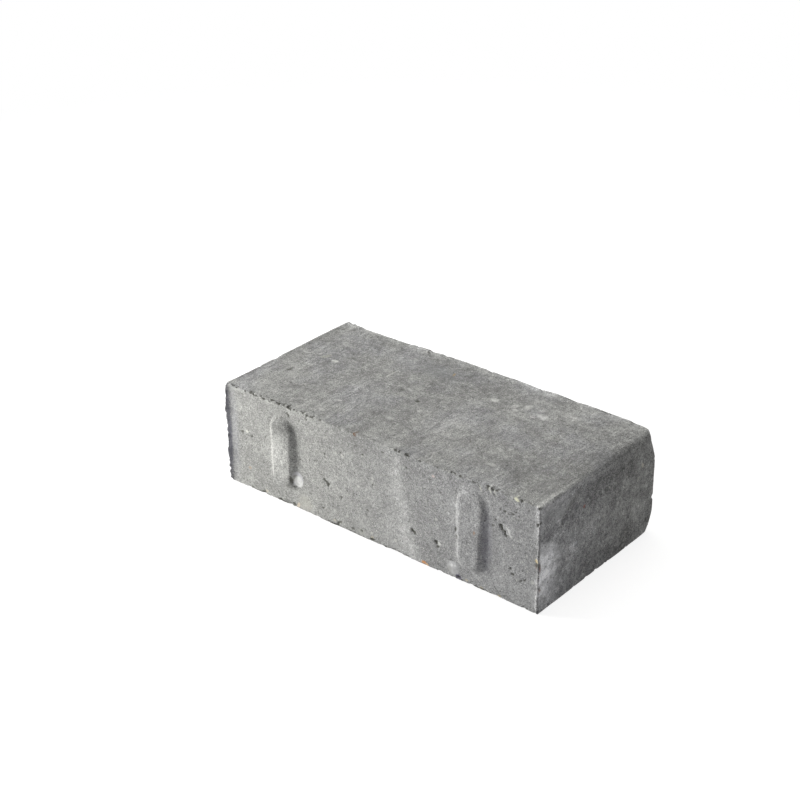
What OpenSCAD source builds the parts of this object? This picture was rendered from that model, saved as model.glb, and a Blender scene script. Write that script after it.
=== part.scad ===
// Rectangular concrete paving stone, pressed in a mould in one piece.
// Two spacer nibs on each long side keep the joint open when the stones are laid.
// The frame's origin is the centre of the bed face, with +X along the length and +Z up.

/* [Block] */
// Length of the block between its two end faces
length = 208; // [150:1:300]
// Width of the block between its long sides, without the nibs
width = 100; // [80:1:200]
// Thickness of the block, from the bed face to the walking face
thickness = 60; // [50:1:100]

/* [Arrises] */
// Radius of the arris round the walking face
top_arris = 0.8; // [0.6:0.1:2.5]
// Radius of the worn arris at the top of the right end
worn_arris = 3; // [1:0.1:5]
// Radius of the arris round the bed face
bed_arris = 0.7; // [0.6:0.1:2.5]
// Radius of the four upright arrises
upright_arris = 0.8; // [0.6:0.1:2.5]

/* [Spacer nibs] */
// How far a nib stands out of the long side
nib_depth = 2.5; // [1.5:0.1:4]
// Width of a nib where its flanks meet the side
nib_width = 18.5; // [17:0.5:24]
// Width of the flat crest of a nib
nib_crest = 11; // [9:0.5:12]
// Radius of the four corners of the crest, seen from the front
nib_corner = 3.5; // [2:0.5:4]
// Distance from the middle of a nib to the nearer end face
nib_inset = 41; // [30:0.5:50]
// Distance from the walking face to the upper end of a nib
nib_below_top = 6; // [5:0.5:12]
// Distance from the bed face to the lower end of a nib
nib_above_bed = 9; // [5:0.5:12]
// Radius of the round along the crest and of the fillet along the root
nib_blend = 2.5; // [1:0.5:3]

/* [Mould flash] */
// How far the flash on the left front arris stands out of the long side
flash_depth = 2.1; // [0.5:0.1:2.5]
// Width of the flash at its tip
flash_tip = 0.8; // [0.5:0.1:2]
// Radius of the hollow flank between the flash and the long side
flash_flank = 2.6; // [2.5:0.1:5]
// Distance from the walking face to the upper end of the flash
flash_below_top = 2; // [1:0.5:10]
// Distance from the bed face to the lower end of the flash
flash_above_bed = 3; // [1:0.5:10]

/* [Worn corners] */
// How far the break of the back right top corner reaches along both top edges
top_break_reach = 5; // [2:0.5:12]
// How far the break of the back right top corner reaches down the upright arris
top_break_drop = 13; // [5:0.5:25]
// How far the break of the back right bed corner reaches along both bed edges
bed_break_reach = 4; // [2:0.5:12]
// How far the break of the back right bed corner reaches up the upright arris
bed_break_rise = 5; // [4:0.5:25]

/* [Hidden] */
concrete = [0.58, 0.58, 0.57];
$fn = 48;
// Stock beyond a face, so that cuts and joins pass clean through it
over = 5;
flank_run = (nib_width - nib_crest) / 2;
flank_angle = atan(nib_depth / flank_run);
// Distance from a corner of the flank to where its round or fillet ends
blend_reach = nib_blend * tan(flank_angle / 2);
// Radius drawn for the blends: enough over theirs that the arc crosses both its tangents
blend_circle = nib_blend + 0.0002;
// How far the wedge that holds a shoulder's waste goes past the round, as a share of the radius
wedge_growth = 1.5;
nib_x = length / 2 - nib_inset;
nib_height = thickness - nib_below_top - nib_above_bed;
// Rectangle between the centres of a nib's four rounded corners
core_width = nib_crest - 2 * nib_corner;
core_height = nib_height - 2 * (nib_corner + flank_run);

// Corner between two straight edges that is cut back to a quarter round.
module corner_waste(radius) {
    difference() {
        translate([-radius, -radius]) square(radius + over);
        translate([-radius, -radius]) circle(radius);
    }
}

// Rectangle centred on X, from y = 0 up, with its own radius on each corner.
module rounded_section(span, rise, low_left, low_right, high_right, high_left) {
    difference() {
        translate([-span / 2, 0]) square([span, rise]);
        translate([span / 2, rise]) corner_waste(high_right);
        translate([-span / 2, rise]) mirror([1, 0]) corner_waste(high_left);
        translate([span / 2, 0]) mirror([0, 1]) corner_waste(low_right);
        translate([-span / 2, 0]) rotate(180) corner_waste(low_left);
    }
}

// Block with all its arrises rounded: where its plan, its long section and its cross section meet.
module block() {
    corner = upright_arris;
    intersection() {
        translate([0, -width / 2, 0])
            linear_extrude(thickness)
                rounded_section(length, width, corner, corner, corner, corner);
        rotate([90, 0, 0])
            linear_extrude(width + 2 * over, center = true)
                rounded_section(length, thickness, bed_arris, bed_arris, worn_arris, top_arris);
        rotate([90, 0, 90])
            linear_extrude(length + 2 * over, center = true)
                rounded_section(width, thickness, bed_arris, bed_arris, top_arris, top_arris);
    }
}

// Section through a nib's rim, out from the centre of a corner: a flat crest, a rounded shoulder,
// a sloping flank and a fillet that runs out on the side of the block.
module rim_section() {
    root = nib_corner + flank_run;
    fillet_end = root + blend_reach;
    flank_foot = [root - blend_reach * cos(flank_angle), blend_reach * sin(flank_angle)];
    crest = [nib_corner, nib_depth];
    shoulder_centre = [nib_corner - blend_reach, nib_depth - nib_blend];
    shoulder_end = nib_blend * [sin(flank_angle), cos(flank_angle)];
    difference() {
        polygon([[0, -over], [fillet_end, -over], [fillet_end, 0], flank_foot, crest, [0, nib_depth]]);
        translate([fillet_end, nib_blend]) circle(blend_circle);
        translate(shoulder_centre)
            difference() {
                polygon(wedge_growth * [[0, 0], [0, nib_blend], [blend_reach, nib_blend], shoulder_end]);
                circle(blend_circle);
            }
    }
}

// Spacer nib standing out along +Z, its length along Y: a flat core, with the rim carried along its
// four sides and through a quarter turn at each corner.
module nib() {
    translate([0, nib_above_bed + nib_height / 2, 0]) {
        translate([-core_width / 2, -core_height / 2, -over])
            cube([core_width, core_height, over + nib_depth]);
        for (side = [0, 180]) rotate([0, 0, side]) {
            translate([core_width / 2, 0, 0])
                rotate([90, 0, 0]) linear_extrude(core_height, center = true) rim_section();
            translate([0, core_height / 2, 0])
                rotate([90, 0, 90]) linear_extrude(core_width, center = true) rim_section();
        }
        for (side = [0, 1], end = [0, 1])
            mirror([side, 0, 0]) mirror([0, end, 0])
                translate([core_width / 2, core_height / 2, 0])
                    rotate_extrude(angle = 90) rim_section();
    }
}

// The four nibs in place, two on each long side.
module nibs() {
    for (side = [0, 180], x = [-nib_x, nib_x])
        rotate([0, 0, side])
            translate([x, -width / 2, 0])
                rotate([90, 0, 0]) nib();
}

// Fin of mortar that rose in the gap at the mould's corner: flush with the end face on its left,
// a hollow flank on its right, and both its ends cut at half a right angle.
module flash() {
    rise = thickness - flash_below_top - flash_above_bed;
    translate([-length / 2, -width / 2, flash_above_bed])
        intersection() {
            linear_extrude(rise)
                difference() {
                    translate([0, -flash_depth])
                        square([flash_tip + flash_flank, flash_depth + upright_arris]);
                    translate([flash_tip + flash_flank, -flash_flank]) circle(flash_flank);
                }
            rotate([90, 0, 90])
                linear_extrude(flash_tip + flash_flank)
                    polygon([
                        [upright_arris, 0],
                        [0, 0],
                        [-flash_depth, flash_depth],
                        [-flash_depth, rise - flash_depth],
                        [0, rise],
                        [upright_arris, rise]
                    ]);
        }
}

// Wedge standing on the back right upright arris that breaks the top corner away.
module corner_break(reach, drop) {
    inward = reach / sqrt(2);
    size = 2 * (reach + drop);
    translate([length / 2, width / 2, thickness - drop])
        rotate([0, 0, 45])
            rotate([0, -atan(inward / drop), 0])
                translate([0, -size / 2, -size / 2]) cube(size);
}

module paving_stone() {
    color(concrete)
        difference() {
            union() {
                block();
                nibs();
                flash();
            }
            corner_break(top_break_reach, top_break_drop);
            translate([0, 0, thickness]) mirror([0, 0, 1])
                corner_break(bed_break_reach, bed_break_rise);
        }
}

paving_stone();
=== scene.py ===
"""Looks of a rectangular concrete paving stone with spacer nibs.

The stone is one skin of 98,800 quads: a lattice on the block's six faces, rounded at the arrises,
then raised at the nibs and the mould flash, and lowered at the pits, chips and broken corners.
Lengths inside the shape functions are in millimetres, from the centre of the bed face.
"""

import functools
import itertools
import math

import bpy
import numpy as np
from bpy.props import FloatProperty, FloatVectorProperty, IntProperty, PointerProperty
from bpy.types import NodeSocket, Operator, Panel, PropertyGroup
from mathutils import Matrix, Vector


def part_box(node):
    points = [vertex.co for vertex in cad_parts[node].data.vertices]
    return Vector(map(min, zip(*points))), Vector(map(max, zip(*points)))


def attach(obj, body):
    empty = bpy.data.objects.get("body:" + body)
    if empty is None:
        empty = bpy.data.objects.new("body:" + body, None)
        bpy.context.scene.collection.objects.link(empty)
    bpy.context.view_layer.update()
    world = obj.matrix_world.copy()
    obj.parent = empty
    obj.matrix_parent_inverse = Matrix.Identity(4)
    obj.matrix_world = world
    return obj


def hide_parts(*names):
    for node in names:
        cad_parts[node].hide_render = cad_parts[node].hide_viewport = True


bl_info = {
    "name": "Concrete Paving Stone",
    "version": (1, 0, 0),
    "blender": (4, 5, 0),
    "location": "3D View > Sidebar > Paving",
    "description": "Builds a pressed concrete paving stone with spacer nibs, and a studio round it",
    "category": "Add Mesh",
}

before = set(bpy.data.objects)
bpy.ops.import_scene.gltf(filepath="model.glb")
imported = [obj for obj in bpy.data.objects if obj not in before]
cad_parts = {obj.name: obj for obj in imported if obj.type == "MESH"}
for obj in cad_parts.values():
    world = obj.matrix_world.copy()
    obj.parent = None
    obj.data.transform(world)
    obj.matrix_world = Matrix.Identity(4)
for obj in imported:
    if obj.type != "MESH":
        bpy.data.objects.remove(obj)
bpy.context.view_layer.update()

MM = 0.001
NODE = "paving_stone"
FACES = FRONT, BACK, LEFT, RIGHT, TOP, BED = "front", "back", "left", "right", "top", "bed"


# Settings.


def length(name, description, millimetres, most=50.0):
    """A length setting, given in millimetres and held in metres."""
    return FloatProperty(
        name=name,
        description=description,
        default=millimetres * MM,
        min=0.0,
        max=most * MM,
        precision=5,
        subtype="DISTANCE",
        unit="LENGTH",
    )


def amount(name, description, value, **kind):
    """A setting that is a plain number, 0 or more."""
    return FloatProperty(name=name, description=description, default=value, min=0.0, **kind)


def colour(name, description, code):
    """A colour setting, given as an sRGB hex code and held as linear light."""
    return FloatVectorProperty(
        name=name, description=description, default=linear(code), size=3, min=0.0, max=1.0, subtype="COLOR"
    )


def linear(code):
    """The linear red, green and blue of an sRGB hex code such as #9C9C98."""
    toe, slope, offset, power, top = 0.04045, 12.92, 0.055, 2.4, 255
    parts = [int(code[k : k + 2], 16) / top for k in (1, 3, 5)]
    return tuple(p / slope if p <= toe else ((p + offset) / (1 + offset)) ** power for p in parts)


class StoneShape(PropertyGroup):
    """Sizes of the stone's forms, as in the CAD source, and how rough its skin is."""

    nib_depth: length("Nib Depth", "How far a nib stands out of the long side", 2.5)
    nib_width: length("Nib Width", "Width of a nib where its flanks meet the side", 18.5)
    nib_crest: length("Nib Crest", "Width of the flat crest of a nib", 11)
    nib_corner: length("Nib Corner", "Radius of the four corners of the crest", 3.5)
    nib_inset: length("Nib Inset", "From the middle of a nib to the nearer end face", 41, 90)
    nib_below_top: length("Nib Below Top", "From the walking face to the upper end of a nib", 6)
    nib_above_bed: length("Nib Above Bed", "From the bed face to the lower end of a nib", 9)
    nib_blend: length("Nib Blend", "Radius of the crest's round and the root's fillet", 2.5)
    flash_depth: length("Flash Depth", "How far the mould flash stands out of the long side", 1.8)
    flash_tip: length("Flash Tip", "Width of the flash at its tip", 0.45)
    flash_flank: length("Flash Flank", "Distance over which the flash's flank falls to a third", 0.85)
    arris: length("Arris", "Radius of a sharp arris", 0.55)
    worn_arris: length("Worn Arris", "Radius of the worn arris at the top of the right end", 2.8)
    top_break_reach: length("Top Break Reach", "Reach of the broken top corner along the top edges", 5)
    top_break_drop: length("Top Break Drop", "Reach of the broken top corner down the arris", 13)
    bed_break_reach: length("Bed Break Reach", "Reach of the broken bed corner along the bed edges", 4)
    bed_break_rise: length("Bed Break Rise", "Reach of the broken bed corner up the arris", 5)
    relief: amount("Relief", "Strength of the skin's unevenness", 1.0, max=3.0, subtype="FACTOR")
    seed: IntProperty(name="Seed", description="Which of the random skins is made", default=7, min=0, max=999)


class StoneColours(PropertyGroup):
    """Colours of the concrete and of what lies in its skin."""

    paste: colour("Cement Paste", "Grey of the cement skin at the left", "#9D9D9B")
    # Towards the right of the front this cool grey is painted light, where the warm key lamp's share falls
    # off; on the walking face its patches are the paste's own.
    cool_paste_and_light: colour("Cool Paste", "Grey of the cement skin at the right, and of the flanks", "#9C9C9D")
    # The hollows' grey is painted shade: it darkens pits, air specks, dark dots and arris voids where their
    # shade falls.
    hollow: colour("Hollows", "Grey at the bottom of pits", "#55554F")


class StageSettings(PropertyGroup):
    """Lamps, surroundings and floor of the studio."""

    key: amount("Key Lamp", "Power of the soft lamp at the left", 10.3, unit="POWER")
    top: amount("Top Lamp", "Power of the broad lamp above", 10.5, unit="POWER")
    sky: amount("Surroundings", "Light from all round", 0.185, subtype="FACTOR")
    floor: colour("Floor", "Colour of the floor", "#E8E8E8")


# Random fields.

MIX_X, MIX_Y, MIX_Z, MIX_SEED, MIX_LAST = 0x8DA6B343, 0xD8163841, 0xCB1AB31F, 0x9E3779B1, 0x5BD1E995
STIRS, LAST_SHIFT = ((13, MIX_LAST), (15, MIX_X)), 16
WORD = 0xFFFFFFFF
CORNERS = tuple(itertools.product((0, 1), repeat=3))
AROUND = tuple(itertools.product((-1, 0, 1), repeat=3))


def scatter(cell, seed):
    """An even random number, 0 to 1, for each whole-number cell.

    The cell's three numbers are multiplied by large odd numbers and mixed with the seed, then stirred
    twice by a shift and a product; the result is a share of the largest 32-bit number.
    """
    x, y, z = (cell[..., k].astype(np.int64).astype(np.uint32) for k in range(3))
    mixed = (x * np.uint32(MIX_X)) ^ (y * np.uint32(MIX_Y)) ^ (z * np.uint32(MIX_Z))
    mixed = mixed ^ np.uint32(seed * MIX_SEED & WORD)
    for shift, factor in STIRS:
        mixed = (mixed ^ (mixed >> np.uint32(shift))) * np.uint32(factor)
    return (mixed ^ (mixed >> np.uint32(LAST_SHIFT))) / WORD


def cloud(points, grain, seed):
    """A soft random field, -1 to 1, with lumps of the grain's size.

    Each corner of a cubic lattice has a random number; a point blends its cell's eight corners, each
    weighted by the product of its three smooth-stepped distances.
    """
    place = points / grain
    cell = np.floor(place)
    part = place - cell
    part = part * part * (3 - 2 * part)
    total = np.zeros(points.shape[:-1])
    for corner in CORNERS:
        weight = np.prod(np.where(corner, part, 1 - part), axis=-1)
        total += weight * scatter(cell + np.array(corner), seed)
    return 2 * total - 1


def clouds(points, layers, seed):
    """The sum of clouds, each given by its height and grain; their seeds count up from the first."""
    return sum(height * cloud(points, grain, seed + k) for k, (height, grain) in enumerate(layers))


def warp(points, reach, grain, seed):
    """A random shift of up to the reach along each axis, one cloud for each."""
    return reach * np.stack([cloud(points, grain, seed + k) for k in range(3)], axis=-1)


def air_pits(points, spacing, share, least, most, seed):
    """Depth of the pits that trapped air leaves, each a bowl of random size at a random place.

    Each cell of the spacing holds one ball, real for a share of the cells, whose radius lies between
    least and most. A pit's depth is its radius times (1 - (distance / radius) squared) to the power 1.5,
    and the deepest pit counts.
    """
    place = points / spacing
    cell = np.floor(place)
    depth = np.zeros(points.shape[:-1])
    for step in AROUND:
        near = cell + np.array(step)
        centre = near + np.stack([scatter(near, seed + k) for k in (1, 2, 3)], axis=-1)
        radius = least + (most - least) * scatter(near, seed + 4) ** 2
        away = np.linalg.norm(place - centre, axis=-1) * spacing
        bowl = radius * np.clip(1 - (away / radius) ** 2, 0, None) ** 1.5
        depth = np.maximum(depth, np.where(scatter(near, seed) < share, bowl, 0))
    return depth


def ramp(value, start, end):
    """Smooth step from 0 at start to 1 at end, level beyond them."""
    t = np.clip((value - start) / (end - start), 0, 1)
    return t * t * (3 - 2 * t)


def hump(value, middle, half):
    """1 at the middle, falling as exp(-s squared), where s is the distance from there over the half width."""
    return np.exp(-(((value - middle) / half) ** 2))


def curve(value, stations):
    """What straight lines between the stations, each a pair of value and result, give."""
    return np.interp(value, *np.array(stations).T)


# Lattice on the block's faces.

# Quads along the length, width and thickness; how much closer the lines lie at an arris; and how far that
# reaches, in millimetres.
COUNTS = (230, 111, 70)
CROWDING, CROWD_REACH = 1.6, 2.2
SUM_STEPS = 20


def spread_lines(low, high, count):
    """Lattice lines from low to high, crowded near both ends.

    Lines have a density of 1 + crowding x exp(-distance to an end / reach); they lie at equal steps of
    the density's running sum.
    """
    span = high - low
    fine = np.linspace(0, span, SUM_STEPS * count + 1)
    fall = CROWDING * CROWD_REACH
    summed = fine + fall * (1 - np.exp(-fine / CROWD_REACH))
    summed += fall * (np.exp((fine - span) / CROWD_REACH) - math.exp(-span / CROWD_REACH))
    return low + np.interp(np.linspace(0, summed[-1], count + 1), summed, fine)


def sheet_quads(key):
    """The quads between the points of a grid, each row four of the points' numbers."""
    return np.stack([key[:-1, :-1], key[1:, :-1], key[1:, 1:], key[:-1, 1:]], axis=-1).reshape(-1, 4)


def box_sheets(counts):
    """The lattice points on a box's skin and the quads between them, facing outwards.

    Each of the six sheets is a grid over two lattice directions. A point's key is one number made of
    its three lattice numbers, so sheets share the points on their common arris.
    """
    rows, layers = counts[1] + 1, counts[2] + 1
    quads = []
    for axis, far in itertools.product(range(3), (False, True)):
        first, second = (k for k in range(3) if k != axis)
        grid = np.zeros((counts[first] + 1, counts[second] + 1, 3), dtype=np.int64)
        grid[..., first], grid[..., second] = np.meshgrid(
            np.arange(counts[first] + 1), np.arange(counts[second] + 1), indexing="ij"
        )
        grid[..., axis] = counts[axis] if far else 0
        sheet = sheet_quads((grid[..., 0] * rows + grid[..., 1]) * layers + grid[..., 2])
        quads.append(sheet if far == (axis != 1) else sheet[:, ::-1])
    keys, quads = np.unique(np.concatenate(quads), return_inverse=True)
    points = np.stack([keys // (rows * layers), keys // layers % rows, keys % layers], axis=-1)
    return points, quads.reshape(-1, 4)


# Forms of the stone.

# Faces that carry listed spots: the axes that along and across run on, the axis that the face looks along,
# and whether it is the far face on that one.
SPOT_AXES = {FRONT: (0, 2, 1, False), TOP: (0, 1, 2, True), RIGHT: (1, 2, 0, True)}


class Block:
    """The plain block's low and high corners in millimetres, without the nibs, and its settings."""

    def __init__(self, shape):
        low, high = (np.array(corner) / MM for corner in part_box(NODE))
        out = np.array([0, shape.nib_depth / MM, 0])
        self.low, self.high = low + out, high - out
        self.shape = shape

    def size(self, name):
        """A setting of the shape in millimetres."""
        return getattr(self.shape, name) / MM

    def gaps(self, at):
        """Distance of each point inwards from each face."""
        inner, outer = at - self.low, self.high - at
        faces = (inner[:, 1], outer[:, 1], inner[:, 0], outer[:, 0], outer[:, 2], inner[:, 2])
        return dict(zip(FACES, faces))

    def to_arris(self, at):
        """Distance of each point to an arris: the second smallest of its distances to the faces."""
        return np.sort(np.minimum(at - self.low, self.high - at), axis=-1)[:, 1]

    def spot(self, face, along, across):
        """The place of a spot on a face.

        Along counts from the left end, or on the right end from the front arris. Across counts down from
        the walking face, or on that face forward from the back arris.
        """
        u, v, _, far = SPOT_AXES[face]
        place = (self.high if far else self.low).copy()
        place[u], place[v] = self.low[u] + along, self.high[v] - across
        return place

    def offset(self, at, face, along, across, half_long, half_wide, turn=0):
        """How far points lie from a spot: along and across it over its half sizes, and off its face."""
        u, v, w, _ = SPOT_AXES[face]
        away = at - self.spot(face, along, across)
        run, drop = away[:, u], -away[:, v]
        c, s = math.cos(math.radians(turn)), math.sin(math.radians(turn))
        return (c * run + s * drop) / half_long, (c * drop - s * run) / half_wide, away[:, w]


def listed(face, *rows):
    """The rows that are listed for a face, each with the face in front."""
    return [(face, *row) for row in rows]


# Where arrises are worn, in millimetres: round the top of the right end, round the bottom of the back right
# arris, and, to a half, at the front's upright arrises.
WORN_END, WORN_BACK, WORN_SHARE = (12, 4), (10, 60), 0.25
WORN_FOOT, FOOT_ROUND = 14, 1.2
CRISP, CRISP_SHARE = (8, 3), 0.5


def arris_radius(block, at):
    """Radius of the arris at each point of the sharp box.

    It is the sharp arris's radius, grown to the worn one where the point nears both the top and the
    right end and lies behind the front corner, and shrunk to a half at the upright arrises of the front.
    """
    gap = block.gaps(at)
    sharp, worn = block.size("arris"), block.size("worn_arris")
    top_right = ramp(gap[TOP], *WORN_END) * ramp(gap[RIGHT], *WORN_END)
    behind = WORN_SHARE + (1 - WORN_SHARE) * ramp(gap[FRONT], *WORN_BACK)
    radius = sharp + (worn - sharp) * top_right * behind
    to_foot = np.linalg.norm(np.stack([gap[RIGHT], gap[BACK], gap[BED]]), axis=0)
    radius += FOOT_ROUND * ramp(to_foot, WORN_FOOT, 0)
    front = ramp(gap[FRONT], *CRISP) * ramp(np.minimum(gap[LEFT], gap[RIGHT]), *CRISP)
    return radius * (1 - CRISP_SHARE * front * (1 - top_right))


def rounded(block, at):
    """Points of the sharp box moved onto the rounded one, with the outward direction at each.

    A point is clamped into the box that is smaller by the radius all round; the direction from there
    to the point is outwards, and the rounded place lies one radius along it.
    """
    radius = arris_radius(block, at)[:, None]
    core = np.clip(at, block.low + radius, block.high - radius)
    out = at - core
    out /= np.linalg.norm(out, axis=-1, keepdims=True)
    return core + radius * out, out


def arc_drop(radius, along):
    """How far a circle falls from its crown at a distance: radius - root of (radius^2 - distance^2)."""
    return radius - np.sqrt(np.clip(radius**2 - np.clip(along, 0, None) ** 2, 0, None))


def nib_profile(block, away):
    """Height of a nib at a distance from the rectangle between its corners' centres.

    It is level as far as the crest's edge, then follows an arc of the blend radius, a straight flank,
    and an arc of the same radius that runs out on the side; the arcs touch the flank without a corner.
    """
    depth, blend, crest = (block.size(name) for name in ("nib_depth", "nib_blend", "nib_corner"))
    foot = crest + (block.size("nib_width") - block.size("nib_crest")) / 2
    slope = math.atan2(depth, foot - crest)
    reach = blend * math.tan(slope / 2)
    level = reach * math.cos(slope)
    shoulder = depth - arc_drop(blend, away - crest + reach)
    flank = depth - (away - crest) * math.tan(slope)
    root = arc_drop(blend, foot + reach - away)
    ends = (crest - reach, crest + level, foot - level, foot + reach)
    return np.select([away < end for end in ends], [depth, shoulder, flank, root], 0.0)


# How the filling of the mould changed each nib of the front: side, how much lower its upper end lies,
# how much higher its lower end, how much its upper slope is drawn out, and how much steeper its flanks are.
FRONT_NIBS = ((-1, 2.0, 1.0, 1.0, 1.2), (1, -1.0, -0.8, 1.5, 1.0))
# How much taller than wide the front nibs' section is, and how softly the held height cuts them.
STEEPER, HELD_SOFT = 1.16, 0.12
# The left nib's right border leans in by a share of the square of the distance into its upper end.
LEAN, LEAN_START, LEAN_MOST = 0.035, 12, 9
# Height under which each nib was held: distance down from the walking face, and height.
LEFT_HELD = ((8.0, 0.4), (9.5, 2.0), (16.5, 1.9), (17.8, 2.75))
RIGHT_HELD = ((6.0, 0.9), (14.0, 1.6), (30.0, 2.3), (48.0, 2.8))
# Clouds on the border of the left nib's shelf, and on the shelf: height and grain, in millimetres.
SHELF_BORDER, SHELF_ROUGH = ((0.9, 3.5), (0.6, 1.6)), ((0.25, 1.8),)


def held_heights(block, at):
    """The height under which the filling held each nib of the front.

    The left nib wasn't filled at its upper end: a rough shelf lies there. The right one rises evenly from
    its upper end to its lower end.
    """
    down = block.gaps(at)[TOP]
    shelf = curve(down + clouds(at, SHELF_BORDER, 31), LEFT_HELD) + clouds(at, SHELF_ROUGH, 33)
    return np.where(at[:, 0] < 0, shelf, curve(down, RIGHT_HELD))


def nib_heights(block, at):
    """Height of the nibs over the long sides at each point.

    The distance from a nib's core rectangle is the length of how far a point lies beyond it sideways and
    endwise. On the front the nib is taller by a share, then height - soft x ln(1 + exp((height - held) /
    soft)) keeps it under the held height; a drawn out slope shrinks distances.
    """
    low, high = block.low, block.high
    corner = block.size("nib_corner")
    half_core = block.size("nib_crest") / 2 - corner
    foot = corner + (block.size("nib_width") - block.size("nib_crest")) / 2
    x = high[0] - block.size("nib_inset")
    bottom, top = low[2] + block.size("nib_above_bed"), high[2] - block.size("nib_below_top")
    middle = (corner + foot) / 2
    front = at[:, 1] < 0
    height = np.zeros(len(at))
    for side, lowered, raised, drawn, steep in FRONT_NIBS:
        upper = np.where(front, top - lowered - foot * drawn, top - foot)
        lower = np.where(front, bottom + raised + foot, bottom + foot)
        drawn = np.where(front, drawn, 1)
        beyond = np.clip(lower - at[:, 2], 0, None) + np.clip(at[:, 2] - upper, 0, None) / drawn
        offset = at[:, 0] - side * x
        leaning = front & (offset > 0) & (side < 0)
        lean = LEAN * np.clip(at[:, 2] - top + LEAN_START, 0, LEAN_MOST) ** 2 * leaning
        aside = np.abs(offset) + lean - half_core - middle
        aside = np.clip(middle + aside * np.where(front, steep, 1), 0, None)
        height = np.maximum(height, nib_profile(block, np.hypot(aside, beyond)))
    tall = height * STEEPER
    limited = tall - HELD_SOFT * np.logaddexp(0, (tall - held_heights(block, at)) / HELD_SOFT)
    return np.where(front, np.clip(limited, 0, None), height)


# The flash's rim: its mean share of the depth, the height and grain of its clouds, the depth, grain and
# sharpness of its teeth, and the notch's depth, height over the bed and half width.
RIM_MEAN, RIM_LONG, RIM_FINE = 1.1, (0.1, 7.0), (0.14, 1.7)
TEETH, TOOTH_GRAIN, TOOTH_SHARP = 0.38, 3.2, 0.3
NOTCH, NOTCH_UP, NOTCH_HALF = 0.75, 7.5, 0.8
# How much of a step sideways counts in the rim's clouds, so that they run straight up it.
SIDEWAYS = 0.2
# Distance in from the bed and the walking face at which the tall fin begins and is full.
FIN_ENDS = (0.3, 2.2)
# The low fin at the right: height at the arris, and fall for each millimetre from it.
LOW_FIN, LOW_FALL = 0.75, 0.55


def flash_height(block, at):
    """Heights of the tall fin of mould flash at the left end of the front and of the low one at the right.

    The tall one is full across its tip, then falls as exp(-distance / flank), hollow towards the side.
    Its rim is toothed: it loses a share of its height at the zeros of a cloud of 3 mm grain, and more in
    one notch. The low one falls in a straight line.
    """
    depth, tip, flank = (block.size(name) for name in ("flash_depth", "flash_tip", "flash_flank"))
    gap = block.gaps(at)
    hollow = depth * np.exp(-np.clip(gap[LEFT] - tip, 0, None) / flank)
    ends = ramp(gap[BED], *FIN_ENDS) * ramp(gap[TOP], *FIN_ENDS)
    line = at * np.array([SIDEWAYS, 0, 1])
    teeth = hump(cloud(line, TOOTH_GRAIN, 41), 0, TOOTH_SHARP)
    ragged = RIM_MEAN + clouds(line, (RIM_LONG,), 42) + clouds(line, (RIM_FINE,), 44) - TEETH * teeth
    notch = 1 - NOTCH * hump(gap[BED], NOTCH_UP, NOTCH_HALF)
    tall = np.where(gap[LEFT] < 6 * flank, hollow * ragged * notch * ends, 0)
    low_fin = np.clip(LOW_FIN - LOW_FALL * gap[RIGHT], 0, None) * ramp(gap[TOP], 6, 15)
    low_fin *= np.clip(0.8 + 0.5 * cloud(line, 4.0, 43), 0, 1)
    return tall, low_fin


def broken_back(points, corner, away, softness):
    """Moves points that lie beyond a plane back onto it.

    The plane passes through the corner and looks away. A point's distance beyond it is softened to
    softness x ln(1 + exp(distance / softness)), and the point moves back by that.
    """
    away = np.array(away) / np.linalg.norm(away)
    beyond = (points - corner) @ away
    soft = softness * np.logaddexp(0, beyond / softness)
    return points - soft[:, None] * away, ramp(beyond, -1.0, 1.0)


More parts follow.
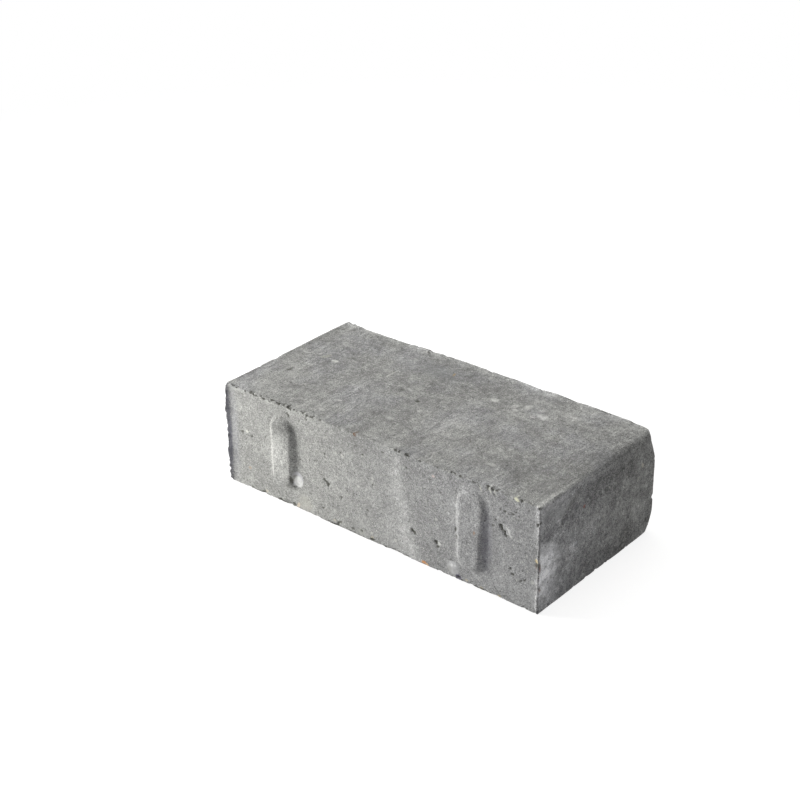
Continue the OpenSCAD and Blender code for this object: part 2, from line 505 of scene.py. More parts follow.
# Pits and chips that the stone has, by face: place along and across it, half length, half width, turn in
# degrees from along towards across, and depth, in millimetres.
PITS = listed(
    FRONT,
    (70.4, 35.4, 2.4, 0.8, 40, 0.9), (72.2, 37, 1.8, 1.2, 80, 1.1), (81.5, 41.8, 0.9, 0.8, 0, 0.8),
    (99.5, 42.6, 1.4, 0.5, 20, 0.6), (70.4, 19.1, 0.9, 0.6, 0, 0.6), (81.7, 14.8, 0.9, 0.6, 0, 0.6),
    (96.7, 10.5, 0.9, 0.7, 0, 0.6), (130.2, 43.3, 2.3, 0.8, 30, 1.2), (144.9, 44, 1.6, 0.8, 40, 1.2),
    (146, 46, 1.3, 0.7, -10, 1), (127, 0.7, 1.6, 0.4, 0, 0.9), (134.7, 0.9, 1.2, 0.5, 10, 1),
    (145.6, 0.5, 0.8, 0.5, 0, 1), (102.5, 58.9, 2.2, 0.8, 0, 1), (80.3, 57.3, 1, 0.8, 0, 0.8),
    (116.2, 60.2, 3.2, 1.4, 0, 1), (187.4, 22, 3, 0.5, 58, 1.4), (185.2, 20.2, 2.2, 0.5, 65, 1.2),
    (184.6, 18.6, 1.2, 0.6, 0, 1.2), (191.3, 40.6, 0.9, 0.7, 30, 0.8), (192.5, 43.5, 1.1, 0.7, 20, 0.9),
    (200.8, 38.4, 0.7, 0.6, 0, 0.6), (199.7, 44, 1.2, 0.6, -40, 0.7), (193.3, 8.1, 0.7, 0.5, 0, 0.7),
    (207.4, 1, 0.8, 0.9, 0, 0.9), (206.6, 10.2, 0.9, 0.9, 0, 0.9), (187, 10, 0.9, 0.6, 0, 0.8),
    (189.5, 10.6, 0.8, 0.6, 0, 0.8), (184.4, 9.6, 0.8, 0.5, 0, 0.7), (191.8, 9.6, 0.9, 0.6, 0, 0.8),
    (181.6, 16.4, 0.7, 0.6, 0, 0.8), (193.5, 11.2, 1, 0.4, 20, 0.6), (10.3, 26.5, 1.2, 0.9, 0, 0.7),
    (17.2, 27.2, 1, 0.8, 0, 0.7), (45, 5.3, 1.8, 0.6, 48, 1), (46.9, 1, 1, 0.8, 0, 1),
    (52.9, 5.7, 0.8, 0.7, 0, 0.7), (55.8, 0.3, 0.9, 0.6, 0, 0.8), (58.4, 0.9, 1, 0.7, 0, 0.9),
    (58, 3, 1.6, 0.6, 70, 0.6), (47.4, 42.4, 1.2, 3, 0, 1), (44.5, 47.6, 2.2, 0.7, 10, 0.6),
    (89, 57.5, 1.4, 0.9, 0, 0.7), (157.3, 31.5, 0.8, 1.8, 10, 0.8), (158.5, 35, 1.6, 0.8, 0, 0.7),
    (159.5, 58.4, 1.4, 1, 0, 0.8), (174.5, 11.5, 1.2, 1, 0, 0.2), (180, 20.5, 0.9, 0.9, 0, 0.6),
    (207.2, 32.5, 0.6, 1.6, 0, 0.6), (168.4, 0.5, 1.7, 0.5, 0, 0.9), (171, 1.3, 1.5, 0.4, 62, 0.8),
    (179.4, 0.6, 1.2, 0.8, 40, 1.1), (182.4, 0.5, 1.4, 0.4, 10, 0.7), (16, 59.4, 1.4, 0.8, 0, 0.6),
    (24.5, 59.2, 1.6, 0.8, 0, 0.7), (37, 59.2, 1.6, 0.9, 0, 0.8), (47, 58.6, 1.6, 1.2, 20, 0.8),
    (79, 58.5, 1, 1.8, 25, 0.9), (124, 60.4, 3.5, 1.1, 0, 0.7), (183, 60.4, 6, 1.2, 0, 0.7),
    (8, 0.4, 0.7, 0.5, 0, 0.7), (20, 0.6, 1, 0.8, 0, 0.8), (27.5, 0.9, 1.2, 0.8, 0, 0.9),
    (38, 0.6, 1.4, 0.8, 10, 0.9), (41.8, 0.3, 1, 0.8, 0, 1), (45, 0.5, 1.1, 0.9, 30, 1),
)
PITS += listed(
    TOP,
    (176.4, 99.3, 1.3, 1, 20, 1.1), (196.6, 99.7, 0.8, 0.5, 0, 0.8), (61.5, 2.4, 1.3, 0.7, 20, 0.7),
    (197, 0, 5, 2, 0, 0.6), (94, 52, 1.9, 1.2, 30, 0.6), (15.3, 66.5, 0.9, 2.6, 10, 0.5),
    (79.5, 47, 0.9, 0.9, 0, 0.4),
)
PITS += listed(
    RIGHT,
    (0.6, 8.5, 0.7, 0.9, 0, 0.7), (0.4, 32.5, 0.7, 2.2, 0, 0.6), (0.6, 46, 0.8, 1.1, 0, 0.6),
)
# The smallest pits of the front that can be told apart: place along and down, and radius, in millimetres.
SMALL_PITS = (
    (97.1, 2.2, 0.6), (100.8, 0.6, 0.6), (91.6, 7.0, 0.5), (89.3, 4.5, 0.5), (97.6, 9.3, 0.5),
    (109.9, 4.4, 0.7), (108.3, 7.8, 0.5), (83.7, 18.6, 0.5), (89.3, 20.9, 0.5), (86.6, 24.1, 0.5),
    (91.1, 23.6, 0.6), (67.3, 33.0, 0.5), (61.4, 21.1, 0.5), (59.3, 26.8, 0.5), (102.8, 26.1, 0.7),
    (105.3, 25.6, 0.6), (106.2, 29.5, 0.5), (68.0, 53.0, 0.8), (59.5, 51.2, 0.5), (118.2, 30.4, 0.5),
    (95.2, 56.4, 0.9), (111.2, 48.4, 0.5), (140.6, 9.2, 0.6), (137.6, 15.5, 0.5), (139.5, 16.5, 0.5),
    (135.3, 31.6, 0.5), (131.3, 36.5, 0.6), (148.4, 25.8, 0.5), (120.1, 43.0, 0.5), (178.8, 27.8, 0.5),
    (159.7, 35.4, 0.6), (197.4, 45.5, 0.6), (202.1, 44.7, 0.6),
)
# Width of the smallest pits and grains over their length.
NARROWER = 0.8
PITS += [(FRONT, along, down, size, NARROWER * size, 0, size) for along, down, size in SMALL_PITS]
# How far off its face a pit or a proud stone reaches, in millimetres, and the power that shapes a pit.
PIT_REACH, PIT_BOWL = 3.0, 1.2


def pit_depths(block, at):
    """Depth of the listed pits at each point.

    With s the length of a point's offset from the pit over the pit's half sizes, warped a little by a
    cloud, the depth is the pit's depth times (1 - s squared) to the power 1.2.
    """
    total = np.zeros(len(at))
    bend = 1 + 0.35 * cloud(at, 1.4, 51)
    for *place, depth in PITS:
        run, drop, off = block.offset(at, *place)
        away = np.sqrt(run**2 + drop**2 + (off / PIT_REACH) ** 2) * bend
        total = np.maximum(total, depth * np.clip(1 - away**2, 0, None) ** PIT_BOWL)
    return total


# Stones of the mix that show in the skin and stand a little proud: face, place, half sizes, height.
PROUD = ((FRONT, 50.6, 42.3, 3.1, 4.2, 0.45), (FRONT, 156.3, 54.4, 3.8, 3.9, 0.4))


def proud_heights(block, at):
    """Height of the listed stones: their height times the square root of (1 - s squared), as a flat dome."""
    total = np.zeros(len(at))
    for *place, height in PROUD:
        run, drop, off = block.offset(at, *place)
        away = run**2 + drop**2 + (off / PIT_REACH) ** 2
        total = np.maximum(total, height * np.sqrt(np.clip(1 - away, 0, None)))
    return total


# Height of the back top arris against the level face: distance from the left end and lift, in millimetres.
LIP = (
    (0, 0.1), (8, 0.2), (13, -0.9), (27, -0.9), (34, -0.7), (46, -0.6), (52, 0.3), (61, 0.5), (62.5, -0.3),
    (70, 0.5), (104, 0.3), (112, 0), (118, 0.3), (127, 0.1), (133, -0.2), (139, -0.2), (146, 0.6),
    (153, 0.4), (160, -0.2), (166, 0.1), (195, -0.2), (208, -0.2),
)
# Most that the left end and the back right arris swell, in millimetres.
LEFT_SWELL, BACK_SWELL = 0.8, 0.9


def swellings(block, at):
    """How far the skin swells out of the left end, out of the back right arris and up at the back.

    The first follows the top arris of the left end, from its middle to the back, and falls to 0 at 9 mm
    below it; the second lies between the two breaks and falls to 0 at 6 mm from its arris. The third is
    the lip along the back, which falls to 0 at 6 mm in front of it.
    """
    gap = block.gaps(at)
    left_top = ramp(gap[TOP], 9, 0) * ramp(gap[FRONT], 10, 50) * (gap[LEFT] < 1)
    right_back = ramp(gap[RIGHT], 6, 0) * ramp(gap[BACK], 6, 0)
    right_back *= ramp(gap[BED], 4, 14) * ramp(gap[TOP], 3, 12)
    lip = curve(gap[LEFT], LIP) * ramp(gap[BACK], 6, 0) * ramp(gap[TOP], 3, 0)
    return LEFT_SWELL * left_top, BACK_SWELL * right_back, lip


# Voids along the arrises: how far off they end and are full, their clumps' grain, the share that is left up
# the back arrises, and where along the top front arris their row ends and is full.
VOID_REACH, CLUMP, UP_BACK, ROW_END = (1.6, 0.2), 7, 0.4, (95, 55)


def void_field(block, at):
    """How thick the voids are along the arrises, 0 to 1.

    It is 1 on an arris and 0 at 1.6 mm from it, times a density: clumps of 7 mm, thicker along the left
    third of the top front arris, where the press left a row of voids, thinner up the two back arrises,
    and none on the worn right end.
    """
    gap = block.gaps(at)
    up_the_back = (at[:, 1] > 0) & (gap[BED] > 3) & (gap[TOP] > 3)
    density = np.clip(0.25 + 0.9 * cloud(at, CLUMP, 61), 0, 1) * np.where(up_the_back, UP_BACK, 1)
    top_front = ramp(gap[TOP], 4, 1) * ramp(gap[FRONT], 4, 1)
    left = 0.12 + 0.58 * ramp(gap[LEFT], *ROW_END) + 0.6 * cloud(at, CLUMP, 62)
    density = np.where(top_front > 0, top_front * np.clip(left, 0, 1), density)
    return ramp(block.to_arris(at), *VOID_REACH) * density * ramp(gap[RIGHT], 1, 3)


# Broad pale and dark stains, and on the front's nibs painted shade and a painted highlight, by face: place
# along and across it, half sizes, and the change at the middle as a share of the tone.
STAINS_AND_PAINTED_LIGHT = listed(
    TOP,
    (60, 50, 3.5, 60, 0.12), (12, 50, 5, 50, 0.1), (92, 30, 6, 34, -0.13), (128, 66, 9, 18, 0.13),
    (146, 30, 10, 18, 0.13), (172, 11, 16, 10, 0.22), (207, 50, 15, 40, -0.24), (121, 65, 6, 6, 0.12),
    (150, 69, 6, 5, -0.14), (170, 74, 6, 4, -0.12), (140, 79, 7, 4, 0.1), (64, 66, 8, 6, 0.08),
    (49, 12, 6, 8, 0.08), (9, 28, 11, 12, -0.13), (100, 22, 28, 16, -0.09), (136, 60, 12, 16, 0.11),
    (188, 42, 14, 15, 0.09), (165, 93, 52, 8, 0.11), (36, 48, 34, 10, -0.06), (178, 76, 12, 18, -0.13),
    (27, 26, 8, 18, -0.08), (20, 92, 26, 9, 0.14), (112, 14, 12, 9, -0.1),
)
STAINS_AND_PAINTED_LIGHT += listed(
    RIGHT,
    (12, 6, 15, 10, 0.22), (64, 10, 44, 8, -0.34), (8, 8, 9, 7, 0.14), (74, 24, 26, 7, -0.13),
    (62, 54, 44, 9, -0.3), (8, 53, 16, 9, 0.28), (100, 38, 8, 20, 0.16), (42, 30, 18, 9, 0.12),
    (7, 16.5, 10, 3.2, -0.14), (22, 3.5, 34, 3.5, 0.26), (2, 11, 3.5, 9, 0.24), (13, 13, 3, 4, 0.3),
    (24, 26, 12, 6, 0.16), (50, 28, 8, 6, -0.18), (33, 33, 4, 4, 0.22),
)
STAINS_AND_PAINTED_LIGHT += listed(
    FRONT,
    # (154, 24) is a painted highlight by the right nib's left flank.
    (154, 24, 3.5, 12, 0.14), (120.5, 19, 5.5, 12, 0.15), (126, 48, 5, 10, 0.2), (151.5, 27, 4, 4, 0.1),
    (146, 52, 13, 7, -0.13), (179, 53, 10, 7, 0.18), (106, 6, 22, 7, -0.12), (82, 26, 26, 12, 0.08),
    (11, 35, 10, 13, -0.12), (134, 20, 8, 8, 0.06), (30, 53, 12, 5, -0.08), (38.5, 13.2, 5.5, 3.2, -0.3),
    # (38.5, 13.2) and (43, 12.6) darken the left nib's shelf; (48.5, 30) and (47.3, 13) are painted shade on
    # its right flank and upper right corner.
    (43, 12.6, 4, 2.4, -0.2), (39, 31, 5.5, 15, 0.3), (48.5, 30, 2.6, 16, -0.1), (47.3, 13, 3.2, 4.2, -0.45),
    (163, 8.7, 4.5, 3.5, 0.13),
)
# How slowly each patch of the table above fades off its face, and how near that it counts, in millimetres.
PATCH_DEPTH, PATCH_SKIN = 12.0, 3.0
# Line on the front, right of its middle, past which it is darker: distance down and along, and the clouds
# that make it wavy.
BORDER = ((0, 122), (10, 123), (20, 124), (30, 126), (38, 128), (47, 131), (60, 134))
BORDER_WAVES = ((1.6, 6), (0.9, 2.4))
# The pale band before it: its change, how far before it lies, and its half width.
BAND, BAND_PLACE, BAND_HALF = 0.22, -4, 5
# The lime on the right end: its change, how deep below the walking face it is thickest, its half width and
# half height, the slope of its upper border, and the clouds of its smears.
LIME, LIME_DOWN, LIME_WIDE, LIME_HIGH, LIME_SLOPE = 1.75, 35, 15, 17, 0.5
SMEARS, SMEAR_LENGTH = ((0.6, 3), (0.4, 1.5)), 6
# How much paler the walking face's rim is at the back and at the front, how much darker the front is past
# the line, and how much painted shade darkens the flash.
BACK_RIM, FRONT_RIM, PAST_LINE, FIN_SHADE = 0.3, 0.1, 0.05, 0.12


def tone_field(block, at):
    """How light the skin is at each point, as a factor on its colour.

    Each broad patch of the table adds its change times exp(-s squared), where s is the offset from its middle
    over its half sizes, bent by a cloud; most are stains, and on the nibs some are painted shade and one a
    painted highlight. A paler rim runs round the walking face. On the front a pale band follows a wavy line
    right of its middle, and past it the front is darker, and the flash is darkened by painted shade. On the
    right end a bloom of lime, with a sharp upper border that slopes, lies by the front arris under slanting
    smears.
    """
    gap = block.gaps(at)
    bent = at + warp(at, 3.5, 9, 71)
    tone = np.ones(len(at))
    for *place, change in STAINS_AND_PAINTED_LIGHT:
        run, drop, _ = block.offset(bent, *place)
        off = block.offset(at, *place)[2]
        share = run**2 + drop**2 + (off / PATCH_DEPTH) ** 2
        tone += change * np.exp(-share) * (np.abs(off) < PATCH_SKIN)

    on_top, on_front, on_right = (ramp(gap[face], 1.2, 0.4) for face in (TOP, FRONT, RIGHT))
    inward, behind = bent[:, 1] - block.low[1], block.high[1] - 0.7 * at[:, 1] - 0.3 * bent[:, 1]
    rim = BACK_RIM * ramp(behind, 7, 1) + FRONT_RIM * ramp(inward, 9, 2)
    tone += rim * on_top * (1 - 0.5 * cloud(at, 12, 74))

    past = gap[LEFT] - curve(gap[TOP], BORDER) + clouds(at, BORDER_WAVES, 75)
    band = BAND * hump(past, BAND_PLACE, BAND_HALF) * (1 + 0.6 * cloud(at, 7, 77))
    tone += on_front * (1 - on_top) * (band - PAST_LINE * ramp(past, -2.5, 2.5))
    fin = flash_height(block, at)[0] / block.size("flash_depth")
    # Painted shade: the flash's flank, turned away from the key lamp, is darkened in colour.
    tone -= FIN_SHADE * np.clip(fin, 0, 1) * on_front

    slant = np.stack([at[:, 0], (at[:, 1] + at[:, 2]) / SMEAR_LENGTH, at[:, 2] - at[:, 1]], axis=-1)
    smear = clouds(slant, SMEARS, 80)
    bloom = hump(inward, 0, LIME_WIDE) * hump(gap[TOP], LIME_DOWN, LIME_HIGH)
    bloom *= ramp(gap[TOP] - LIME_SLOPE * inward - 1.5 * cloud(at, 5, 79), 17.5, 20.5)
    bloom *= 1 + 0.35 * cloud(at, 4, 78) + 0.45 * smear
    tone += LIME * bloom * on_right * ramp(gap[FRONT], 0, 0.5)
    tone += 0.3 * smear * on_right * ramp(inward, 45, 20) * ramp(gap[TOP], 40, 15)
    return np.clip(tone, 0.3, 3)


# Clouds of the skin's unevenness, of the chips along the arrises and of the breaks' surface: height and
# grain, in millimetres.
UNEVEN = ((0.14, 45), (0.08, 14), (0.05, 5), (0.045, 2.1))
CHIPS, CHIP_LEVEL, CHIP_SHARE = ((1, 4), (0.8, 1.6)), 0.5, 0.8
BREAK_ROUGH, BREAK_SOFT, BREAK_DEEP = ((0.35, 3.2), (0.2, 1.5)), 0.22, 0.25
# How far in from an arris the chips and the wandering reach, the wandering's level, and its cloud.
EDGE_REACH, WANDER_LEVEL, WANDER = 2.5, 0.22, ((0.25, 16),)
# How far the pits' outlines are shifted, and the grain of that.
PIT_SHIFT = (0.55, 1.7)
# Air pits: spacing, share of the places that hold one, least and most radius; and how much of a bowl shows.
AIR, AIR_DEPTH = (8.0, 0.2, 0.6, 1.2), 0.8


def stone_skin(block):
    """Points, quads and the fields of the stone's skin.

    The rounded block's points move along their outward direction by: nibs, swellings and proud stones,
    plus clouds of 45, 14, 5 and 2 mm grain, less pits. Near an arris a cloud of 16 mm makes the line
    wander, and clouds of 4 and 1.6 mm chip it where they run high. Then the two broken corners are planed
    off, and nothing goes below the bed. The fields say how deep in a pit, how broken, how near a void of
    the arris and how light each point is.
    """
    shape, low, high = block.shape, block.low, block.high
    lattice, quads = box_sheets(COUNTS)
    lines = [spread_lines(low[k], high[k], COUNTS[k]) for k in range(3)]
    sharp = np.stack([lines[k][lattice[:, k]] for k in range(3)], axis=-1)
    points, out = rounded(block, sharp)
    gap, seed = block.gaps(sharp), shape.seed

    side = ramp(np.abs(out[:, 1]), 0.3, 0.95)
    front = side * (out[:, 1] < 0)
    left_swell, back_swell, lip = swellings(block, sharp)
    raised = nib_heights(block, sharp) * side + proud_heights(block, sharp) + back_swell
    tall_fin, low_fin = flash_height(block, sharp)

    edge = ramp(block.to_arris(sharp), EDGE_REACH, 0)
    bed_front = ramp(gap[BED], 4, 1) * ramp(gap[FRONT], 4, 1)
    chips = clouds(points, CHIPS, seed + 5) - CHIP_LEVEL + 0.2 * bed_front
    chips = CHIP_SHARE * edge * np.clip(chips, 0, None)
    wander = edge * (WANDER_LEVEL + clouds(points, WANDER, seed + 7))
    uneven = clouds(points, UNEVEN, seed + 1) - chips + wander

    shift = warp(points, *PIT_SHIFT, seed + 11)
    holes = AIR_DEPTH * air_pits(points + shift, *AIR, seed + 20)
    holes = np.maximum(holes, pit_depths(block, sharp + shift))

    points = points + (raised + shape.relief * uneven - holes)[:, None] * out
    points[:, 1] -= (tall_fin + low_fin) * front
    points[:, 0] -= left_swell + 0.3 * tall_fin * front
    points[:, 2] += lip

    inward = np.array([1, 1, 0]) / math.sqrt(2)
    broken = np.zeros(len(points))
    breaks = (
        (high[2], -1, block.size("top_break_reach"), block.size("top_break_drop")),
        (low[2], 1, block.size("bed_break_reach"), block.size("bed_break_rise")),
    )
    for level, up, reach, run in breaks:
        corner = np.array([high[0], high[1], level + up * run])
        away = inward * run - np.array([0, 0, up]) * reach / math.sqrt(2)
        points, share = broken_back(points, corner, away, BREAK_SOFT)
        broken = np.maximum(broken, share)
    rough = clouds(points, BREAK_ROUGH, seed + 9)
    points -= (broken * (BREAK_DEEP + rough))[:, None] * out
    points[:, 2] = np.maximum(points[:, 2], low[2])
    fields = {
        "hollow": np.clip(holes / AIR_DEPTH, 0, 1),
        "broken": broken,
        "edge": void_field(block, sharp),
        "tone": tone_field(block, sharp),
    }
    return points * MM, quads, fields


def skin_mesh(name, points, quads, fields):
    """A smooth-shaded mesh of quads, with one number for each point in each named field."""
    mesh = bpy.data.meshes.new(name)
    mesh.vertices.add(len(points))
    mesh.vertices.foreach_set("co", points.astype(np.float32).ravel())
    mesh.loops.add(quads.size)
    mesh.loops.foreach_set("vertex_index", quads.astype(np.int32).ravel())
    mesh.polygons.add(len(quads))
    mesh.polygons.foreach_set("loop_start", np.arange(0, quads.size, 4, dtype=np.int32))
    mesh.polygons.foreach_set("use_smooth", np.ones(len(quads), dtype=bool))
    for field, values in fields.items():
        mesh.attributes.new(field, "FLOAT", "POINT").data.foreach_set("value", values.astype(np.float32))
    mesh.update(calc_edges=True)
    if mesh.validate():
        raise RuntimeError(f"{name}: the mesh had faults")
    return mesh


# Material.

PER_METRE = 1 / MM
TIMES, PLUS, LESS = ({"operation": name} for name in ("MULTIPLY", "ADD", "SUBTRACT"))
# Between these lie most values of a noise, and this is its usual roughness.
MOST, ROUGH = (0.3, 0.7), 0.6


def add(tree, kind, *values, out=0, named=None, **settings):
    """Adds a node with its settings and links, and returns one of its outputs.

    Values go to its inputs in order, the named ones by name or number, and None leaves an input alone. A
    value is a number, a vector, a colour of three parts, or another node's output, which is linked.
    """
    made = tree.nodes.new("ShaderNode" + kind)
    for name, value in settings.items():
        setattr(made, name, value)
    for key, value in (*enumerate(values), *(named or {}).items()):
        socket = made.inputs[key]
        if isinstance(value, NodeSocket):
            tree.links.new(value, socket)
        elif value is not None:
            socket.default_value = (*value, 1) if socket.type == "RGBA" else value
    return made.outputs[out] if made.outputs else None


def bare(owner):
    """Empties the node tree of a material or world, and gives the function that adds nodes to it."""
    owner.use_nodes = True
    owner.node_tree.nodes.clear()
    return functools.partial(add, owner.node_tree)


# Stains, stones and specks in the skin, and some painted shade and painted highlights, by face: place along
# and across it, half sizes, turn in degrees, colour, strength, and the share of the radius over which it
# fades.
MARKS = listed(
    FRONT,
    # The first two marks are painted shade: a bluish tint and a dark bluish strip on the flash's shaded flank
    # at the left end.
    (3, 30, 3.8, 28, 0, "#A6A6B2", 0.28, 0.9), (0.5, 30, 1.5, 30, 0, "#6C6C80", 0.4, 0.4),
    (143, 6.5, 1, 0.7, 0, "#D9C9C5", 0.7, 0.4), (50.6, 41.8, 3.6, 4.5, 0, "#CFCED2", 0.9, 0.25),
    (49.2, 41.2, 2.1, 2.2, 0, "#84837B", 0.9, 0.5), (51.3, 43, 2.6, 3.3, 0, "#E6E6E5", 0.95, 0.35),
    (50.4, 44.6, 1.2, 1.4, 0, "#C9C9C6", 0.5, 0.7), (156.3, 54.4, 3.8, 4, 0, "#C4C4C6", 0.72, 0.35),
    (154, 56, 1.4, 2.2, 0, "#8C8B86", 0.5, 0.6), (156.8, 55.4, 1, 1.2, 0, "#A09FA0", 0.6, 0.6),
    (155.4, 53, 0.9, 0.8, 0, "#E2E2E2", 0.7, 0.5), (157.6, 52.6, 0.7, 0.7, 0, "#E2E2E2", 0.6, 0.5),
    # (159.6, 58.4) is painted shade: a dark violet spot in the pit there.
    (159.6, 58.4, 1.7, 1.3, 0, "#5F5680", 0.8, 0.5), (55.5, 55, 5.2, 4.8, 0, "#BDBBB3", 0.45, 0.6),
    (137.3, 58.7, 1.6, 0.8, 0, "#CF9460", 0.85, 0.4), (139.6, 59.4, 1.2, 0.6, 40, "#DDBB95", 0.8, 0.4),
    (50.2, 58, 0.9, 1.8, 20, "#D2C4B0", 0.8, 0.5), (170.4, 27.8, 0.9, 1.4, 10, "#A98262", 0.65, 0.6),
    (14.5, 47.5, 1.2, 1, 0, "#B99C80", 0.4, 0.6), (185, 59.3, 1.3, 0.7, 0, "#CDBF9F", 0.7, 0.5),
    (173.9, 58.9, 1.1, 0.6, 0, "#C4BBA6", 0.6, 0.5), (164.6, 58.4, 0.9, 0.6, 0, "#CBBEA2", 0.6, 0.5),
    (102.6, 57.6, 1, 0.8, 0, "#C8BEA8", 0.6, 0.5), (76.2, 57.4, 0.9, 0.7, 0, "#CBC2B0", 0.6, 0.5),
    (26.5, 57.8, 1.1, 0.7, 0, "#D0C6B2", 0.6, 0.5), (13.7, 25.2, 0.9, 0.8, 0, "#D6D5CF", 0.9, 0.5),
    # (189.8, 20.6) is a painted highlight: the lit rim on the right of the two slanting pits beside it.
    (146.9, 44, 1.3, 1, 0, "#CFCFCC", 0.8, 0.4), (189.8, 20.6, 3.6, 0.7, 58, "#D8D8D6", 0.9, 0.5),
    (95, 57, 2, 1.8, 0, "#B5B5B0", 0.6, 0.5), (80, 57.6, 0.9, 1.2, 20, "#CFCFC8", 0.7, 0.5),
    (92, 0.5, 1.2, 1, 0, "#6E4E36", 0.85, 0.5), (194, 0.8, 1.6, 0.9, 20, "#E3E2CC", 0.9, 0.4),
    (45.2, 2.6, 2.4, 0.5, 50, "#C9C9C5", 0.6, 0.6), (172.2, 2.4, 2, 0.6, 62, "#D2D2CA", 0.8, 0.6),
    (177.9, 1.3, 1.7, 0.5, 62, "#D8D8D0", 0.85, 0.6), (181.2, 1.8, 1.6, 0.5, 62, "#C6C6BE", 0.7, 0.6),
    # (176.5, 31) is painted shade: a bluish tint on the right nib's shaded right flank.
    (206.6, 30.4, 1, 1.2, 0, "#C8B586", 0.8, 0.5), (176.5, 31, 3, 16, 0, "#9A98AA", 0.25, 0.8),
    (78, 16, 1.2, 0.9, 0, "#C4C4C0", 0.5, 0.6), (104.5, 25, 2.6, 1.4, 0, "#BDBDB9", 0.35, 0.7),
)
MARKS += listed(
    RIGHT,
    (14, 12, 7, 1.4, -28, "#ACADAD", 0.7, 0.8), (13, 7.6, 5, 1, -26, "#939494", 0.5, 0.8),
    (4.5, 6.5, 4.5, 2.2, -30, "#8E8F8E", 0.5, 0.8), (25, 9, 8, 1.4, -24, "#888984", 0.5, 0.8),
    (74.6, 57, 1.2, 0.9, 0, "#C9C9C6", 0.7, 0.5), (38.3, 56.8, 1.1, 0.9, 0, "#C4C4C2", 0.7, 0.5),
    (34.7, 44.2, 1.2, 0.9, 0, "#BDBFC0", 0.6, 0.5), (55, 30, 0.9, 0.8, 0, "#C0C0BD", 0.7, 0.5),
    (49, 26.5, 1, 0.8, 0, "#BDBDBA", 0.6, 0.5), (43.2, 29.4, 0.9, 0.9, 0, "#B6B6B3", 0.6, 0.5),
    (51, 33.5, 0.8, 0.8, 0, "#BABAB7", 0.6, 0.5), (0.7, 34.2, 0.7, 2.2, 0, "#80594C", 0.75, 0.5),
    (1, 47, 0.9, 0.8, 0, "#8A6252", 0.6, 0.5), (89.5, 16.5, 1.5, 0.9, 60, "#D0CCBE", 0.9, 0.5),
    (86, 23, 0.5, 1.6, 15, "#BDBAB0", 0.8, 0.5), (67.8, 28.7, 1.1, 1, 0, "#C9C9C6", 0.7, 0.5),
    (60, 46.2, 1.7, 1.2, 0, "#BEBEBC", 0.6, 0.6), (31, 34.5, 1.4, 1, 0, "#B9BDC1", 0.6, 0.6),
    (37, 16.3, 1, 0.9, 0, "#9A4E44", 0.7, 0.5),
)
MARKS += listed(
    TOP,
    (125, 25.6, 2.4, 1.8, 0, "#DADAD7", 0.8, 0.6), (137.6, 24.6, 1.6, 2, 0, "#D8D8D5", 0.7, 0.7),
    (143.6, 21, 2, 2.4, 0, "#D2D2CF", 0.75, 0.6), (140.2, 28.2, 1.6, 1.3, 0, "#DADAD7", 0.7, 0.6),
    (155.6, 25.4, 3.4, 2.2, 20, "#E0E0DE", 0.85, 0.7), (28, 43.6, 2.2, 1.6, 0, "#DADAD6", 0.85, 0.5),
    (20, 42, 1.6, 3, 20, "#BABAA8", 0.4, 0.7), (11.5, 38.6, 1.6, 2.2, 0, "#BDBDBA", 0.5, 0.7),
    (62.6, 35.6, 0.7, 6, 0, "#CDCDC9", 0.5, 0.44), (61.6, 14, 1.6, 2.6, 0, "#BABAB6", 0.35, 0.7),
    (102, 60.2, 1.5, 1.5, 0, "#D0D0CD", 0.7, 0.5), (61.6, 77.4, 1.3, 1.1, 0, "#D4D4D1", 0.7, 0.5),
    (95.4, 75.9, 1.8, 1.3, 0, "#CDCDCA", 0.6, 0.6), (165.3, 81.6, 2, 1.4, 0, "#CDCDCA", 0.6, 0.6),
    (60.8, 90.6, 2.2, 1, 0, "#D4D4D1", 0.7, 0.5), (107.4, 5.8, 1.2, 1.2, 0, "#C9C9C6", 0.6, 0.6),
    # The three dark marks at (94, 52), (15.3, 66.5) and (79.5, 47) are painted shade in the pits there.
    (94.2, 75.6, 2.2, 1.8, 0, "#B8B8B5", 0.45, 0.7), (94, 52, 2, 1.3, 30, "#5E5E5A", 0.55, 0.7),
    (15.3, 66.5, 1, 3, 10, "#66665F", 0.5, 0.7), (79.5, 47, 1.2, 1, 0, "#62625D", 0.5, 0.7),
    (89.8, 15.7, 0.7, 1.8, -20, "#B59A66", 0.75, 0.5), (80, 18, 13, 7, 0, "#8A8D90", 0.35, 0.9),
)
# The smallest pale grains of the front: place along and down, and radius.
PALE_GRAINS = (
    (68.6, 17.3, 0.6), (71.5, 20.1, 0.7), (82.6, 16.0, 0.9), (96.5, 11.6, 0.8), (63.2, 29.6, 0.7),
    (78.9, 37.1, 0.6), (85.1, 45.4, 0.7), (85.4, 51.1, 0.9), (93.6, 30.6, 1.0), (103.3, 22.2, 1.0),
    (145.0, 30.5, 0.9), (118.2, 53.5, 1.1), (102.1, 55.3, 0.9), (72.5, 8.5, 0.6), (200.7, 29.7, 0.7),
    (200.9, 38.5, 0.7), (198.2, 34.1, 0.6), (168.6, 21.5, 0.6), (167.0, 40.6, 0.6), (204.5, 43.2, 1.2),
)
# Their colour, strength and fade.
GRAIN_LOOK = ("#C6C6C2", 0.7, 0.5)
MARKS += [(FRONT, along, down, size, NARROWER * size, 0, *GRAIN_LOOK) for along, down, size in PALE_GRAINS]
# A mark reaches this far off its face. Its outline is torn where it fades over this share and is this large,
# and else nearly true; then the shift of a place for each, and the shift's grain, in millimetres.
MARK_DEPTH, TORN_FADE, TORN_SIZE = 4.0, 0.45, 2.5
TRUE_SHIFT, TORN_SHIFT, SHIFT_GRAIN = 1.2, 5.0, 2.6
# Depth at which a listed pit's painted shade is darkest.
DARK_DEPTH = 1.2
